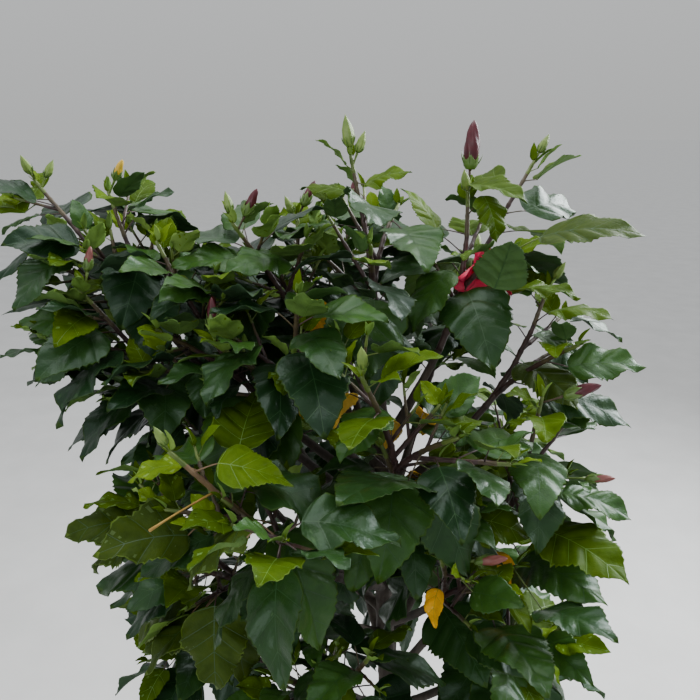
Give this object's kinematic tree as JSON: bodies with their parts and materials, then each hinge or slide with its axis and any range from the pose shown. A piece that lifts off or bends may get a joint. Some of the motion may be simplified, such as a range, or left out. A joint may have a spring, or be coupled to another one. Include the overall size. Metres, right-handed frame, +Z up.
{
  "type": "hibiscus shrub in a pot",
  "caption": "Leafy indoor hibiscus shrub with buds and a red bloom, growing from the soil of a plain round clay pot.",
  "frame": {"origin": "centre of the pot's flat underside", "axes": "+Z up along the trunk, +X to the right and +Y to the back as the picture shows the plant"},
  "size_m": [0.7455, 0.7326, 1.3884],
  "materials": {
    "clay": "matte fired clay",
    "soil": "damp crumbly potting soil",
    "bark": "matte brown bark",
    "foliage": "glossy leaf"
  },
  "bodies": {
    "root": {"bough_back_far_left": "bark", "bough_back_high": "bark", "bough_back_left": "bark", "bough_back_low": "bark", "bough_back_low_left": "bark", "bough_back_low_right": "bark", "bough_back_right": "bark", "bough_back_skirt": "bark", "bough_centre_front": "bark", "bough_centre_left": "bark", "bough_centre_low": "bark", "bough_centre_mid": "bark", "bough_front_left": "bark", "bough_front_low": "bark", "bough_front_skirt": "bark", "bough_leader": "bark", "bough_left_high": "bark", "bough_left_inner": "bark", "bough_left_low": "bark", "bough_left_mid": "bark", "bough_left_skirt": "bark", "bough_right_high": "bark", "bough_right_low": "bark", "bough_right_mid": "bark", "bough_right_skirt": "bark", "foliage_back_far_left": "foliage", "foliage_back_high": "foliage", "foliage_back_left": "foliage", "foliage_back_low": "foliage", "foliage_back_low_left": "foliage", "foliage_back_low_right": "foliage", "foliage_back_right": "foliage", "foliage_back_skirt": "foliage", "foliage_centre_front": "foliage", "foliage_centre_left": "foliage", "foliage_centre_low": "foliage", "foliage_centre_mid": "foliage", "foliage_front_left": "foliage", "foliage_front_low": "foliage", "foliage_front_skirt": "foliage", "foliage_leader": "foliage", "foliage_left_high": "foliage", "foliage_left_inner": "foliage", "foliage_left_low": "foliage", "foliage_left_mid": "foliage", "foliage_left_skirt": "foliage", "foliage_right_high": "foliage", "foliage_right_low": "foliage", "foliage_right_mid": "foliage", "foliage_right_skirt": "foliage", "pot": "clay", "soil": "soil", "trunk": "bark"}
  },
  "joints": []
}
